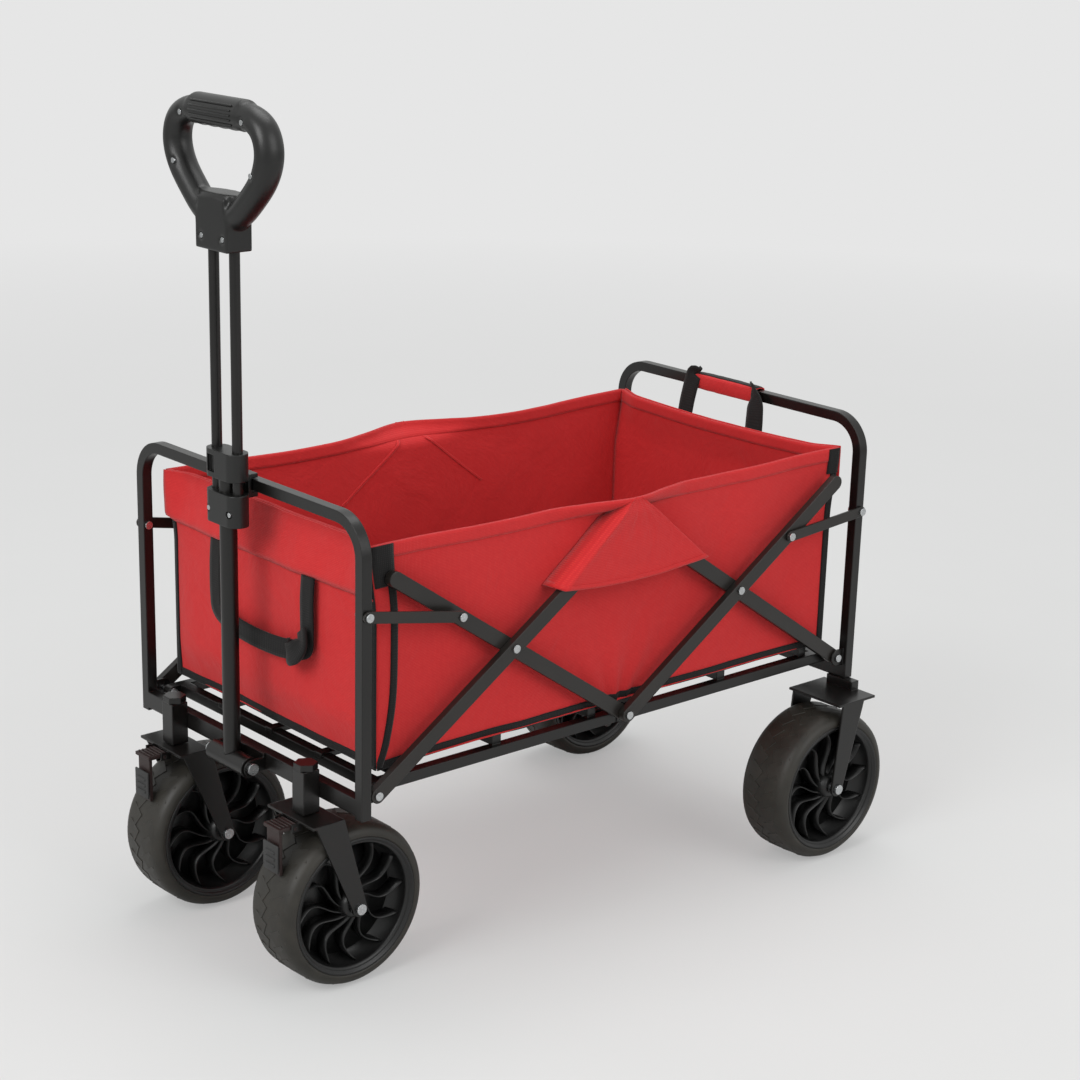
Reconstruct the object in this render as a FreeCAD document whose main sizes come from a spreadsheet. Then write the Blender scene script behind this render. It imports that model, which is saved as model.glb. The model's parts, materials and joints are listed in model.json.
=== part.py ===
import FreeCAD, Part
import Sketcher
import os
import re

from FreeCAD import Rotation, Vector

# Folding wagon with a pull handle. X is the width, -Y the handle end, Z up, origin on the ground
# under the middle of the open wagon. The model is the open wagon with the handle upright.

doc = FreeCAD.newDocument("Wagon")
sheet = doc.addObject("Spreadsheet::Sheet", "Sizes")

SIZES = {
    # end frames, bent from one square tube each
    "post_x": 220.5,
    "post_y": 397,
    "rail_top": 581,
    "post_foot": 232,
    "tube_side": 13,
    "bend_radius": 42,
    "foot_tube_low": 236,
    "foot_tube_tall": 20,
    "rear_foot_drop": 7,
    # side linkage, flat bars on two layers
    "open_angle": 33.9,
    "pivot_z": 258,
    "bar_low": 237.4,
    "bar_mid": 221,
    "bar_top": 200,
    "bar_width": 18,
    "bar_thick": 9,
    "layer_gap": 0.5,
    "bar_outer_x": 227,
    "rivet_radius": 3,
    "rivet_gap": 0.06,
    "rivet_head": 5,
    "head_thick": 2.2,
    "plate_thick": 3,
    "link_thick": 3,
    "link_width": 13,
    "link_gap": 0.8,
    "link_on_bar": 100,
    "front_link_z": 471,
    "rear_link_z": 457,
    # floor, two folding halves with mats
    "floor_x": 198.5,
    "floor_tube": 13,
    "slat_pitch": 150,
    "slat_start": 45,
    "half_gap": 1,
    "pin_drop": 4,
    "pin_radius": 3,
    "mat_x": 186,
    "mat_thick": 8,
    "mat_start": 50,
    # fabric tub
    "tub_x": 204,
    "tub_y": 366,
    "tub_top": 540,
    "tub_wall": 2,
    "tub_floor_gap": 0.5,
    "flap_half": 115,
    "flap_drop": 86,
    "strap_half": 84,
    "strap_width": 25,
    "strap_low": 376,
    "strap_top": 480,
    "wrap_half": 56,
    "wrap_wall": 4,
    "wrap_x": -20,
    "strap_end_z": 500,
    # casters and wheels
    "wheel_radius": 100,
    "wheel_width": 76,
    "rim_radius": 70,
    "rim_half": 33,
    "hub_half": 36,
    "spoke_half": 26,
    "hub_radius": 15,
    "caster_x": 136,
    "trail": 44,
    "stem_radius": 8,
    "housing_side": 22,
    "housing_top": 270,
    "cap_radius": 14,
    "cap_tall": 8,
    "fork_top": 217,
    "fork_inner": 41.5,
    "fork_wall": 3,
    "axle_radius": 4,
    "axle_gap": 0.06,
    "rear_wheel_x": 228,
    "rear_wheel_y": 338,
    "pedal_width": 30,
    "pad_width": 24,
    "pad_low": 154,
    # pull handle
    "handle_y": 423,
    "hinge_z": 241,
    "sleeve_radius": 12.5,
    "sleeve_half": 37,
    "stick_radius": 10.2,
    "rod_radius": 6.1,
    "rod_x": 20.5,
    "coupler_half": 31,
    "coupler_deep": 28,
    "upper_low": 582,
    "upper_tall": 32,
    "lower_low": 529,
    "lower_tall": 37,
    "slide_gap": 0.08,
    "clip_gap": 2,
    "grip_low": 840,
    "collar_tall": 34,
    "grip_half": 88.5,
    "grip_top": 988,
    "grip_deep": 34,
    "grip_thick": 29,
    "screw_radius": 3,
}

SLATS = 3
SPOKES = 12
GRIP_SCREWS = [
    ("0.67 * grip_half", "grip_top - 5"),
    ("-0.67 * grip_half", "grip_top - 5"),
    ("0.85 * grip_half", "grip_low + 0.6 * (grip_top - grip_low)"),
    ("-0.85 * grip_half", "grip_low + 0.6 * (grip_top - grip_low)"),
    ("rod_x", "grip_low + 14"),
    ("-rod_x", "grip_low + 14"),
]

for row, (alias, size) in enumerate(SIZES.items(), start=1):
    sheet.set(f"A{row}", alias)
    sheet.set(f"B{row}", str(size))
    sheet.setAlias(f"B{row}", alias)
doc.recompute()

# sizes that follow from the driving ones, with angles in degrees
FOLLOWS = {
    "half_tube": "(tube_side / 2)",
    "pivot_y": "((bar_low + bar_mid) * cos(open_angle))",
    "cross_y": "(bar_mid * cos(open_angle))",
    "cross_z": "(pivot_z + bar_low * sin(open_angle))",
    "front_plate_x": "(bar_outer_x - bar_thick - 2)",
    "rear_plate_x": "(bar_outer_x - bar_thick + 1.7)",
    "bar_inner_x": "(bar_outer_x - bar_thick - layer_gap)",
    "link_x": "(bar_outer_x + link_gap)",
    "link_y": "((bar_mid + link_on_bar) * cos(open_angle))",
    "link_z": "(pivot_z + (bar_low + link_on_bar) * sin(open_angle))",
    "slat_low": "(pivot_z + floor_tube / 2)",
    "fabric_low": "(slat_low + floor_tube + tub_floor_gap)",
    "stem_y": "(post_y + half_tube + housing_side / 2)",
    "axle_y": "(stem_y - trail)",
    "fork_out": "(fork_inner + fork_wall)",
    "fork_low": "(fork_top - fork_wall)",
    "low_z": "(cross_z - bar_mid * sin(open_angle))",
    "high_z": "(cross_z + bar_mid * sin(open_angle))",
    "hinge_low": "(pivot_z - floor_tube / 2 - pin_drop)",
    "half_length": "(pivot_y - half_gap)",
    "rear_ear_x": "(floor_x - floor_tube / 2 - plate_thick / 2 - 0.4)",
    "front_ear_x": "(rear_ear_x - plate_thick - 0.4)",
    "ear_tall": "(floor_tube + pin_drop + 1)",
    "mat_low": "(fabric_low + tub_wall + tub_floor_gap)",
    "front_link_angle": "(atan2(link_z - front_link_z; post_y - link_y))",
    "rear_link_angle": "(180 deg - atan2(link_z - rear_link_z; post_y - link_y))",
    "coupler_flat": "(2 * coupler_half - coupler_deep)",
}


def words(text):
    """Writes a size formula with the sheet's name before each alias."""
    def swap(found):
        name = found.group(0)
        if name in FOLLOWS:
            return words(FOLLOWS[name])
        return f"Sizes.{name}" if name in SIZES else name
    return re.sub(r"[a-z_][a-z_0-9]*", swap, str(text))


def number(text):
    found = sheet.evalExpression(words(text))
    return float(getattr(found, "Value", found))


def bind(obj, **formulas):
    for name, text in formulas.items():
        obj.setExpression(name, words(text))


def at(obj, x=0, y=0, z=0, turn=None, axis=Vector(1, 0, 0)):
    """Places an object; turn is an angle formula about the axis."""
    if turn is not None:
        obj.Placement.Rotation = Rotation(axis, number(turn))
        obj.setExpression("Placement.Rotation.Angle", words(turn))
    for name, text in zip("xyz", (x, y, z)):
        obj.setExpression(f"Placement.Base.{name}", words(text))
    return obj


def block(size, centre, turn=None):
    """A box by its three sizes and its centre, turned about X through its centre."""
    box = doc.addObject("Part::Box", "Block")
    bind(box, Length=size[0], Width=size[1], Height=size[2])
    if turn is None:
        corner = [f"({c}) - ({s}) / 2" for c, s in zip(centre, size)]
        return at(box, *corner)
    at(box, *[f"-({s}) / 2" for s in size])
    return at(holder([box]), *centre, turn=turn)


def holder(parts):
    """One movable object around others."""
    group = doc.addObject("Part::Compound", "Set")
    group.Links = parts
    return group


def rod(radius, length, start, axis="z"):
    """A cylinder from a start point along an axis."""
    cyl = doc.addObject("Part::Cylinder", "Rod")
    bind(cyl, Radius=radius, Height=length)
    turns = {"x": Rotation(Vector(0, 1, 0), 90), "y": Rotation(Vector(1, 0, 0), -90), "z": Rotation()}
    cyl.Placement.Rotation = turns[axis]
    return at(cyl, *start)


def fuse(parts):
    joined = doc.addObject("Part::MultiFuse", "Joined")
    joined.Shapes = parts
    joined.Refine = True
    return joined


def cut(base, tools):
    result = doc.addObject("Part::Cut", "Cut")
    result.Base = base
    result.Tool = tools[0] if len(tools) == 1 else fuse(tools)
    return result


def common(base, tool):
    result = doc.addObject("Part::Common", "Kept")
    result.Base = base
    result.Tool = tool
    return result


def mirror(obj, normal=Vector(1, 0, 0)):
    """The same piece on the other side of the wagon's middle plane."""
    other = doc.addObject("Part::Mirroring", "Mirrored")
    other.Source = obj
    other.Normal = normal
    return other


def both(obj):
    return holder([obj, mirror(obj)])


def sketch_on(body, plane, loops):
    """A sketch of closed outlines; each corner is held by two distances from the origin."""
    sketch = body.newObject("Sketcher::SketchObject", "Outline")
    face = [f for f in body.Origin.OriginFeatures if f.Role == plane][0]
    sketch.AttachmentSupport = [(face, "")]
    sketch.MapMode = "FlatFace"
    for loop in loops:
        spots = [Vector(number(a), number(b), 0) for a, b in loop]
        first = sketch.GeometryCount
        for spot, after in zip(spots, spots[1:] + spots[:1]):
            sketch.addGeometry(Part.LineSegment(spot, after), False)
        for i in range(len(loop)):
            after = first + (i + 1) % len(loop)
            sketch.addConstraint(Sketcher.Constraint("Coincident", first + i, 2, after, 1))
        for i, (a, b) in enumerate(loop):
            for kind, text, size in (("DistanceX", a, spots[i].x), ("DistanceY", b, spots[i].y)):
                index = sketch.addConstraint(Sketcher.Constraint(kind, -1, 1, first + i, 1, size))
                sketch.setExpression(f"Constraints[{index}]", words(text))
    return sketch


def turned(profile, plane="XY_Plane", about="X_Axis"):
    """A body of revolution about X from a profile of (x, radius) corners."""
    body = doc.addObject("PartDesign::Body", "Turned")
    sketch = sketch_on(body, plane, [profile])
    spin = body.newObject("PartDesign::Revolution", "Spin")
    spin.Profile = sketch
    line = [f for f in body.Origin.OriginFeatures if f.Role == about][0]
    spin.ReferenceAxis = (line, [""])
    spin.Angle = 360
    return body


def padded(loops, thick, plane="YZ_Plane"):
    """A flat piece with the outline in the YZ plane and its thickness along X, both ways."""
    body = doc.addObject("PartDesign::Body", "Flat")
    sketch = sketch_on(body, plane, loops)
    pad = body.newObject("PartDesign::Pad", "Thickness")
    pad.Profile = sketch
    pad.Midplane = True
    pad.setExpression("Length", words(thick))
    return body


nodes = {}


def node(label, obj):
    """Names a finished sub-part; the name is its file's name."""
    obj.Label = label
    nodes[label] = obj
    return obj


def rivet(inner_x, outer_x, y, z):
    """A rivet along X with a domed head at each end."""
    shank = rod("rivet_radius", f"{outer_x} - ({inner_x})", (inner_x, y, z), "x")
    inner = rod("rivet_head", "head_thick", (f"{inner_x} - head_thick", y, z), "x")
    outer = rod("rivet_head", "head_thick", (outer_x, y, z), "x")
    return fuse([shank, inner, outer])


def square_corner(x, y, z, quarter_turn):
    """A quarter bend of square tube in the XZ plane about its bend centre."""
    outer = doc.addObject("Part::Cylinder", "Bend")
    bind(outer, Radius="bend_radius + half_tube", Height="tube_side")
    outer.Angle = 90
    inner = doc.addObject("Part::Cylinder", "BendHole")
    bind(inner, Radius="bend_radius - half_tube", Height="tube_side")
    bend = cut(outer, [inner])
    bend.Placement.Rotation = Rotation(Vector(1, 0, 0), 90) * Rotation(Vector(0, 0, 1), quarter_turn)
    return at(bend, x, y, z)


def hole_along_x(radius, y, z):
    """A tool that drills right across the wagon."""
    return rod(radius, "4 * post_x", ("-2 * post_x", y, z), "x")


def end_frame(name, side, link_z, plate_x, foot_middle):
    """One end of the frame: a bent square tube, its foot tube and the plates that carry the bars."""
    y = f"({side} * post_y)"
    pivot = f"({side} * pivot_y)"
    bend_z = "(rail_top - half_tube - bend_radius)"
    post_tall = f"({bend_z} - post_foot)"
    posts = [
        block(("tube_side", "tube_side", post_tall), (x, y, f"post_foot + {post_tall} / 2"))
        for x in ("post_x", "-post_x")
    ]
    rail = block(("2 * (post_x - bend_radius)", "tube_side", "tube_side"), (0, y, "rail_top - half_tube"))
    bends = [
        square_corner("post_x - bend_radius", f"{y} + half_tube", bend_z, 0),
        square_corner("bend_radius - post_x", f"{y} + half_tube", bend_z, 90),
    ]
    foot = block(
        ("2 * post_x + tube_side", "tube_side", "foot_tube_tall"),
        (0, y, foot_middle),
    )
    reach = "(post_y - half_tube - pivot_y)"
    slab = block(
        ("plate_thick", f"{reach} + 1", "bar_width + 4"),
        (plate_x, f"{side} * (pivot_y + {reach} / 2 + 0.5)", "pivot_z"),
    )
    nose = rod("bar_width / 2 + 2", "plate_thick", (f"{plate_x} - plate_thick / 2", pivot, "pivot_z"), "x")
    beyond = block(
        ("plate_thick + 2", "4 * bar_width", "4 * bar_width"),
        (plate_x, f"{side} * (post_y - half_tube + 0.8 + 2 * bar_width)", "pivot_z"),
    )
    plate = both(cut(fuse([slab, nose]), [beyond]))
    drills = [
        hole_along_x("rivet_radius + rivet_gap", y, link_z),
        hole_along_x("rivet_radius + rivet_gap", pivot, "pivot_z"),
    ]
    node(f"{name}_u_frame", cut(fuse(posts + [rail, foot, plate] + bends), drills))


def flat_bar(length, holes, layer_x, y, z, turn):
    """A flat bar with round ends that starts at a pivot, with holes along it."""
    body = block(("bar_thick", length, "bar_width"), (0, f"({length}) / 2", 0))
    ends = [rod("bar_width / 2", "bar_thick", ("-bar_thick / 2", end, 0), "x") for end in (0, length)]
    drills = [rod("rivet_radius + rivet_gap", "2 * bar_thick", ("-bar_thick", h, 0), "x") for h in holes]
    bar = cut(fuse([body] + ends), drills)
    return at(holder([bar]), layer_x, y, z, turn=turn)


def side_bars():
    """Four crossing bars on each side: two rise from the end frames, two rise from the middle."""
    outer = "bar_outer_x - bar_thick / 2"
    inner = "bar_inner_x - bar_thick / 2"
    long_holes = [0, "bar_low", "bar_low + bar_mid"]
    short_holes = [0, "bar_mid"]
    bars = {
        "front_low_bar": ("bar_low + bar_mid", long_holes, outer, "-pivot_y", "pivot_z", "open_angle"),
        "rear_low_bar": ("bar_low + bar_mid", long_holes, inner, "pivot_y", "pivot_z", "180 - open_angle"),
        "front_top_bar": ("bar_mid + bar_top", short_holes, inner, 0, "low_z", "180 - open_angle"),
        "rear_top_bar": ("bar_mid + bar_top", short_holes, outer, 0, "low_z", "open_angle"),
    }
    for name, sizes in bars.items():
        bar = flat_bar(*sizes)
        node(f"{name}_right", bar)
        node(f"{name}_left", mirror(bar))


def side_rivets():
    """Domed rivets at the crossings, under the flaps, at the middle and at the end frames."""
    through = ("bar_inner_x - bar_thick - 0.3", "bar_outer_x + 0.3")
    crossing = rivet(*through, "-cross_y", "cross_z")
    top = rivet(*through, 0, "high_z")
    node("front_bar_rivets", both(holder([crossing, top])))
    node("rear_bar_rivets", both(rivet(*through, "cross_y", "cross_z")))
    node("middle_rivets", both(rivet(*through, 0, "low_z")))
    post = ("post_x - half_tube - 0.3", "link_x + link_thick + 0.3")
    floor_pin = rivet("floor_x - floor_tube / 2 - 0.3", "bar_outer_x + 0.3", "-pivot_y", "pivot_z")
    node("front_rivets", both(holder([floor_pin, rivet(*post, "-post_y", "front_link_z")])))
    plate_face = "rear_plate_x + plate_thick / 2 + 0.3"
    plate_pin = rivet("bar_inner_x - bar_thick - 0.3", plate_face, "pivot_y", "pivot_z")
    node("rear_rivets", both(holder([plate_pin, rivet(*post, "post_y", "rear_link_z")])))


def links():
    """Short links between the posts and the bars that rise from the middle."""
    for name, sign, post_link_z in (("front", "-", "front_link_z"), ("rear", "", "rear_link_z")):
        length = f"(sqrt((post_y - link_y) ^ 2 + (link_z - {post_link_z}) ^ 2))"
        strip = block(("link_thick", length, "link_width"), (0, f"{length} / 2", 0))
        ends = [rod("link_width / 2", "link_thick", ("-link_thick / 2", e, 0), "x") for e in (0, length)]
        drills = [rod("rivet_radius + rivet_gap", 20, (-10, e, 0), "x") for e in (0, length)]
        link = cut(fuse([strip] + ends), drills)
        place = ("link_x + link_thick / 2", f"{sign}post_y", post_link_z)
        bar_face = "bar_inner_x" if name == "front" else "bar_outer_x"
        start = f"({bar_face} + 0.4 - (link_x + link_thick / 2))"
        shank = rod("rivet_radius", f"link_thick / 2 + 0.3 - {start}", (start, length, 0), "x")
        head = rod("rivet_head", "head_thick", ("link_thick / 2 + 0.3", length, 0), "x")
        node(f"{name}_links", both(at(holder([link]), *place, turn=f"{name}_link_angle")))
        pin = at(holder([fuse([shank, head])]), *place, turn=f"{name}_link_angle")
        node(f"{name}_link_rivets", both(pin))


def floor_half(sign, ear_x):
    """Half of the floor frame: side rails, an end rail, slats laid across and hinge ears."""
    inside = "(2 * floor_x - floor_tube)"
    across = "(2 * floor_x)"
    parts = []
    for x in ("floor_x", "-floor_x"):
        middle = f"{sign} * (pivot_y + half_gap) / 2"
        parts.append(block(("floor_tube", "half_length", "floor_tube"), (x, middle, "pivot_z")))
        end = (f"{x} - floor_tube / 2", f"{sign} * pivot_y", "pivot_z")
        parts.append(rod("floor_tube / 2", "floor_tube", end, "x"))
    end_y = f"{sign} * (pivot_y - 1.4 * floor_tube)"
    parts.append(block((inside, "floor_tube", "floor_tube"), (0, end_y, "pivot_z")))
    for i in range(SLATS):
        y = f"{sign} * (pivot_y - slat_start - {i} * slat_pitch)"
        parts.append(block((across, "floor_tube", "floor_tube"), (0, y, "pivot_z + floor_tube")))
    for x in ("-floor_x / 2", 0, "floor_x / 2"):
        web_y = f"{sign} * (pivot_y - slat_start / 2 - 0.7 * floor_tube)"
        web_middle = (x, web_y, "pivot_z + floor_tube / 2")
        parts.append(block(("floor_tube", "slat_start", "floor_tube / 2"), web_middle))
    for x in (ear_x, f"-({ear_x})"):
        ear = block(
            ("plate_thick", "3 * floor_tube", "ear_tall"),
            (x, f"{sign} * (1.5 * floor_tube)", "hinge_low + ear_tall / 2"),
        )
        knuckle = rod("2 * pin_radius", "plate_thick", (f"{x} - plate_thick / 2", 0, "hinge_low"), "x")
        parts += [ear, knuckle]
    drills = [
        hole_along_x("rivet_radius + rivet_gap", f"{sign} * pivot_y", "pivot_z"),
        hole_along_x("pin_radius + rivet_gap", 0, "hinge_low"),
    ]
    return cut(fuse(parts), drills)


def floor():
    """The folding floor with its hinge pins and the mats that lie on it."""
    node("floor_frame_front", floor_half("-1", "front_ear_x"))
    node("floor_frame_rear", floor_half("1", "rear_ear_x"))
    pin_start = "(front_ear_x - plate_thick / 2 - 0.5)"
    pin = rod("pin_radius", "2 * plate_thick + 1", (pin_start, 0, "hinge_low"), "x")
    node("floor_hinge_pins", both(pin))
    for name, sign in (("front", "-1"), ("rear", "1")):
        length = "(pivot_y - mat_start - 2)"
        mat = block(
            ("2 * mat_x", length, "mat_thick"),
            (0, f"{sign} * (2 + {length} / 2)", "mat_low + mat_thick / 2"),
        )
        node(f"mat_{name}", mat)


def fabric():
    """The cloth tub, the flaps over the top joints and the carry strap."""
    tall = "(tub_top - fabric_low)"
    outside = block(("2 * tub_x", "2 * tub_y", tall), (0, 0, f"fabric_low + {tall} / 2"))
    inside = block(
        ("2 * tub_x - 2 * tub_wall", "2 * tub_y - 2 * tub_wall", tall),
        (0, 0, f"fabric_low + tub_wall + {tall} / 2"),
    )
    node("fabric_tub", cut(outside, [inside]))
    flap_x = "(bar_outer_x + 0.3 + head_thick + 1.5)"
    sheet_of_cloth = padded(
        [[("-flap_half", "tub_top - flap_drop"), ("flap_half", "tub_top - flap_drop"), (0, "tub_top + 2")]],
        "tub_wall",
    )
    at(sheet_of_cloth, f"{flap_x} + tub_wall / 2", 0, 0)
    fold_middle = (f"({flap_x} + tub_wall + tub_x) / 2", 0, "tub_top + 1.5")
    fold = block((f"{flap_x} + tub_wall - tub_x", 8, "tub_wall"), fold_middle)
    node("side_flaps", both(fuse([sheet_of_cloth, fold])))
    strap_y = "-(tub_y + 0.4 + tub_wall / 2)"
    strap_tall = "(strap_top - strap_low)"
    sides = [
        block(("strap_width", "tub_wall", strap_tall), (x, strap_y, f"strap_low + {strap_tall} / 2"))
        for x in ("strap_half", "-strap_half")
    ]
    low_middle = (0, strap_y, "strap_low + strap_width / 2")
    low = block(("2 * strap_half + strap_width", "tub_wall", "strap_width"), low_middle)
    node("front_strap", fuse(sides + [low]))


def rail_grip():
    """The padded wrap on the rear rail and the two straps that hang from it."""
    middle = ("wrap_x", "post_y", "rail_top - half_tube")
    wrap = block(("2 * wrap_half", "tube_side + 2 * wrap_wall", "tube_side + 2 * wrap_wall"), middle)
    rail = block(("2 * wrap_half + 2", "tube_side + 0.4", "tube_side + 0.4"), middle)
    node("rail_wrap", cut(wrap, [rail]))
    top_z = "(rail_top - tube_side - wrap_wall + 1)"
    drop = f"({top_z} - strap_end_z)"
    lean = f"(atan2(post_y - tub_y - 3; {drop}))"
    straps = []
    for x in ("wrap_x - wrap_half + 12", "wrap_x + wrap_half + 10"):
        centre = (x, "(post_y + tub_y + 3) / 2", f"strap_end_z + {drop} / 2 - 1.5")
        length = f"sqrt({drop} ^ 2 + (post_y - tub_y - 3) ^ 2)"
        straps.append(block(("strap_width", "tub_wall", length), centre, turn=f"-{lean}"))
    node("wrap_straps", holder(straps))


def coupler(low, tall):
    """A block with round sides that joins the two rods round the stick."""
    middle = block(("coupler_flat", "coupler_deep", tall), (0, "-handle_y", f"({low}) + ({tall}) / 2"))
    edges = ("coupler_flat / 2", "-coupler_flat / 2")
    sides = [rod("coupler_deep / 2", tall, (x, "-handle_y", low)) for x in edges]
    return fuse([middle] + sides)


def rod_holes(low, tall):
    return [rod("rod_radius + slide_gap", tall, (x, "-handle_y", low)) for x in ("rod_x", "-rod_x")]


def handle_base():
    """The hinge bracket, the sleeve and stick that turn on it, and the coupler that clips to the rail."""
    front_face = "(post_y + half_tube)"
    ear_x = "(sleeve_half + 0.5)"
    ear_reach = f"(handle_y - {front_face})"
    foot_z = "(foot_tube_low + foot_tube_tall / 2)"
    back = block(
        (f"2 * {ear_x} + 2 * plate_thick", "plate_thick", "foot_tube_tall"),
        (0, f"-({front_face} + plate_thick / 2)", foot_z),
    )
    parts = [back]
    for x in (f"{ear_x} + plate_thick / 2", f"-({ear_x} + plate_thick / 2)"):
        ear_middle = (x, f"-({front_face} + {ear_reach} / 2)", "hinge_z + 2")
        parts.append(block(("plate_thick", ear_reach, 16), ear_middle))
        parts.append(rod(10, "plate_thick", (f"{x} - plate_thick / 2", "-handle_y", "hinge_z"), "x"))
    too_near = block((200, 20, 80), (0, f"-({front_face} - 10)", "hinge_z"))
    bracket = cut(fuse(parts), [hole_along_x("axle_radius + axle_gap", "-handle_y", "hinge_z"), too_near])
    node("handle_bracket", bracket)
    end_x = f"({ear_x} + plate_thick + 0.2)"
    shank = rod("axle_radius", f"2 * {end_x}", (f"-{end_x}", "-handle_y", "hinge_z"), "x")
    head = rod(7, 4, (end_x, "-handle_y", "hinge_z"), "x")
    nut = rod(7, 5, (f"-{end_x} - 5", "-handle_y", "hinge_z"), "x")
    node("handle_pivot_bolt", fuse([shank, head, nut]))
    tube = rod("sleeve_radius", "2 * sleeve_half", ("-sleeve_half", "-handle_y", "hinge_z"), "x")
    node("handle_sleeve", cut(tube, [hole_along_x("axle_radius + axle_gap", "-handle_y", "hinge_z")]))
    stick = rod("stick_radius", "upper_low + upper_tall - 4 - hinge_z", (0, "-handle_y", "hinge_z"))
    saddle = rod("sleeve_radius", "2 * sleeve_half", ("-sleeve_half", "-handle_y", "hinge_z"), "x")
    node("handle_stick", cut(stick, [saddle]))


def upper_coupler():
    """The fixed coupler at the top of the stick, with a clip that opens towards the rail."""
    rail_front = "(-post_y - half_tube)"
    rail_low = "(rail_top - tube_side)"
    jaw_end = "(-post_y + 1)"
    back_y = "(-handle_y + coupler_deep / 2 + 0.5)"
    clip_low = f"({rail_low} - clip_gap - 6)"
    clip_top = "(rail_top + clip_gap / 2)"
    spine_end = f"({rail_front} - clip_gap / 2)"
    spine = block(
        ("2 * rod_x", f"{spine_end} - {back_y}", f"{clip_top} + 5 - {clip_low}"),
        (0, f"({spine_end} + {back_y}) / 2", f"({clip_top} + 5 + {clip_low}) / 2"),
    )
    top_jaw = block(
        ("2 * rod_x", f"{jaw_end} - {back_y} + 6", 5),
        (0, f"({jaw_end} + {back_y} - 6) / 2", f"{clip_top} + 2.5"),
    )
    low_jaw = block(
        ("2 * rod_x", f"{jaw_end} - {back_y}", 6),
        (0, f"({jaw_end} + {back_y}) / 2", f"{clip_low} + 3"),
    )
    window_middle = ("-rod_x / 2 - 3", "-handle_y - coupler_deep / 2", "upper_low + upper_tall / 2")
    window = block((14, 8, "upper_tall - 12"), window_middle)
    seat = rod("stick_radius + slide_gap", "upper_tall - 4 + 1", (0, "-handle_y", "upper_low - 1"))
    drills = rod_holes("upper_low - 40", "upper_tall + 80") + [seat, window]
    node("upper_coupler", cut(fuse([coupler("upper_low", "upper_tall"), spine, top_jaw, low_jaw]), drills))


def slider():
    """The part that slides: twin rods, the lower coupler and the grip in two halves."""
    rods = [
        rod("rod_radius", "grip_low + collar_tall - 4 - lower_low - 1", (x, "-handle_y", "lower_low + 1"))
        for x in ("rod_x", "-rod_x")
    ]
    node("handle_rods", holder(rods))
    bore = rod("stick_radius + slide_gap", "lower_tall + 2", (0, "-handle_y", "lower_low - 1"))
    front_y = "(-handle_y - coupler_deep / 2)"
    seats = [rod("screw_radius + 1.5", 3, (x, front_y, "lower_low + 15"), "y") for x in ("rod_x", "-rod_x")]
    drills = rod_holes("lower_low + 1", "lower_tall + 2") + [bore] + seats
    node("lower_coupler", cut(coupler("lower_low", "lower_tall"), drills))


def grip_ring():
    """The D ring swept round its own centre line with an oval section."""
    half, top, deep, thick = (number(n) for n in ("grip_half", "grip_top", "grip_deep", "grip_thick"))
    low = number("grip_low + collar_tall")
    tall = top - low
    right = [(0.25, 0.02), (0.62, 0.22), (0.92, 0.48), (1.0, 0.70), (0.90, 0.89), (0.62, 0.99), (0.3, 1.0)]
    spots = [(0, 0.0)] + right + [(0, 1.0)] + [(-x, z) for x, z in reversed(right)]
    y = -number("handle_y")
    curve = Part.BSplineCurve()
    curve.interpolate(Points=[Vector(half * x, y, low + tall * z) for x, z in spots], PeriodicFlag=True)
    path = Part.Wire([curve.toShape()])
    start = curve.value(curve.FirstParameter)
    along = curve.tangent(curve.FirstParameter)[0]
    oval = Part.Ellipse(start + Vector(0, deep / 2, 0), start + along.cross(Vector(0, 1, 0)) * thick / 2, start)
    sweep = Part.BRepOffsetAPI.MakePipeShell(path)
    sweep.setBiNormalMode(Vector(0, 1, 0))
    sweep.add(Part.Wire([oval.toShape()]))
    sweep.build()
    sweep.makeSolid()
    ring = doc.addObject("Part::Feature", "Ring")
    ring.Shape = sweep.shape()
    return ring


def grip():
    """Two moulded halves that meet on the rods' plane, screwed together from the front."""
    collar = block(
        ("2 * coupler_half", "grip_deep", "collar_tall"),
        (0, "-handle_y", "grip_low + collar_tall / 2"),
    )
    neck = block(("1.7 * coupler_half", "grip_deep", 28), (0, "-handle_y", "grip_low + collar_tall + 10"))
    bar_len = "(1.1 * grip_half)"
    bar = rod("grip_deep / 2 + 0.5", bar_len, (f"-{bar_len} / 2", "-handle_y", "grip_top"), "x")
    whole = fuse([grip_ring(), collar, neck, bar])
    scallops = [
        rod(9, 60, (f"{i} * 20", "-handle_y - 30", "grip_top - grip_deep / 2 - 7"), "y") for i in (-2, -1, 0, 1, 2)
    ]
    front_y = "(-handle_y - grip_deep / 2)"
    seats = [rod("screw_radius + 1.5", 3.5, (x, front_y, z), "y") for x, z in GRIP_SCREWS]
    drills = rod_holes("grip_low - 1", "collar_tall - 2") + scallops + seats
    solid = cut(whole, drills)
    half_size = (400, 100, 400)
    for name, side in (("front", "-"), ("rear", "+")):
        keep = block(half_size, (0, f"-handle_y {side} 50 {side} 0.05", "grip_top - 50"))
        node(f"grip_{name}", common(solid, keep))
    heads = [rod("screw_radius", 2.5, (x, f"{front_y} + 1", z), "y") for x, z in GRIP_SCREWS]
    low_heads = [
        rod("screw_radius", 2, (x, "-handle_y - coupler_deep / 2 + 1", "lower_low + 15"), "y")
        for x in ("rod_x", "-rod_x")
    ]
    node("handle_screws", holder(heads + low_heads))


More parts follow.
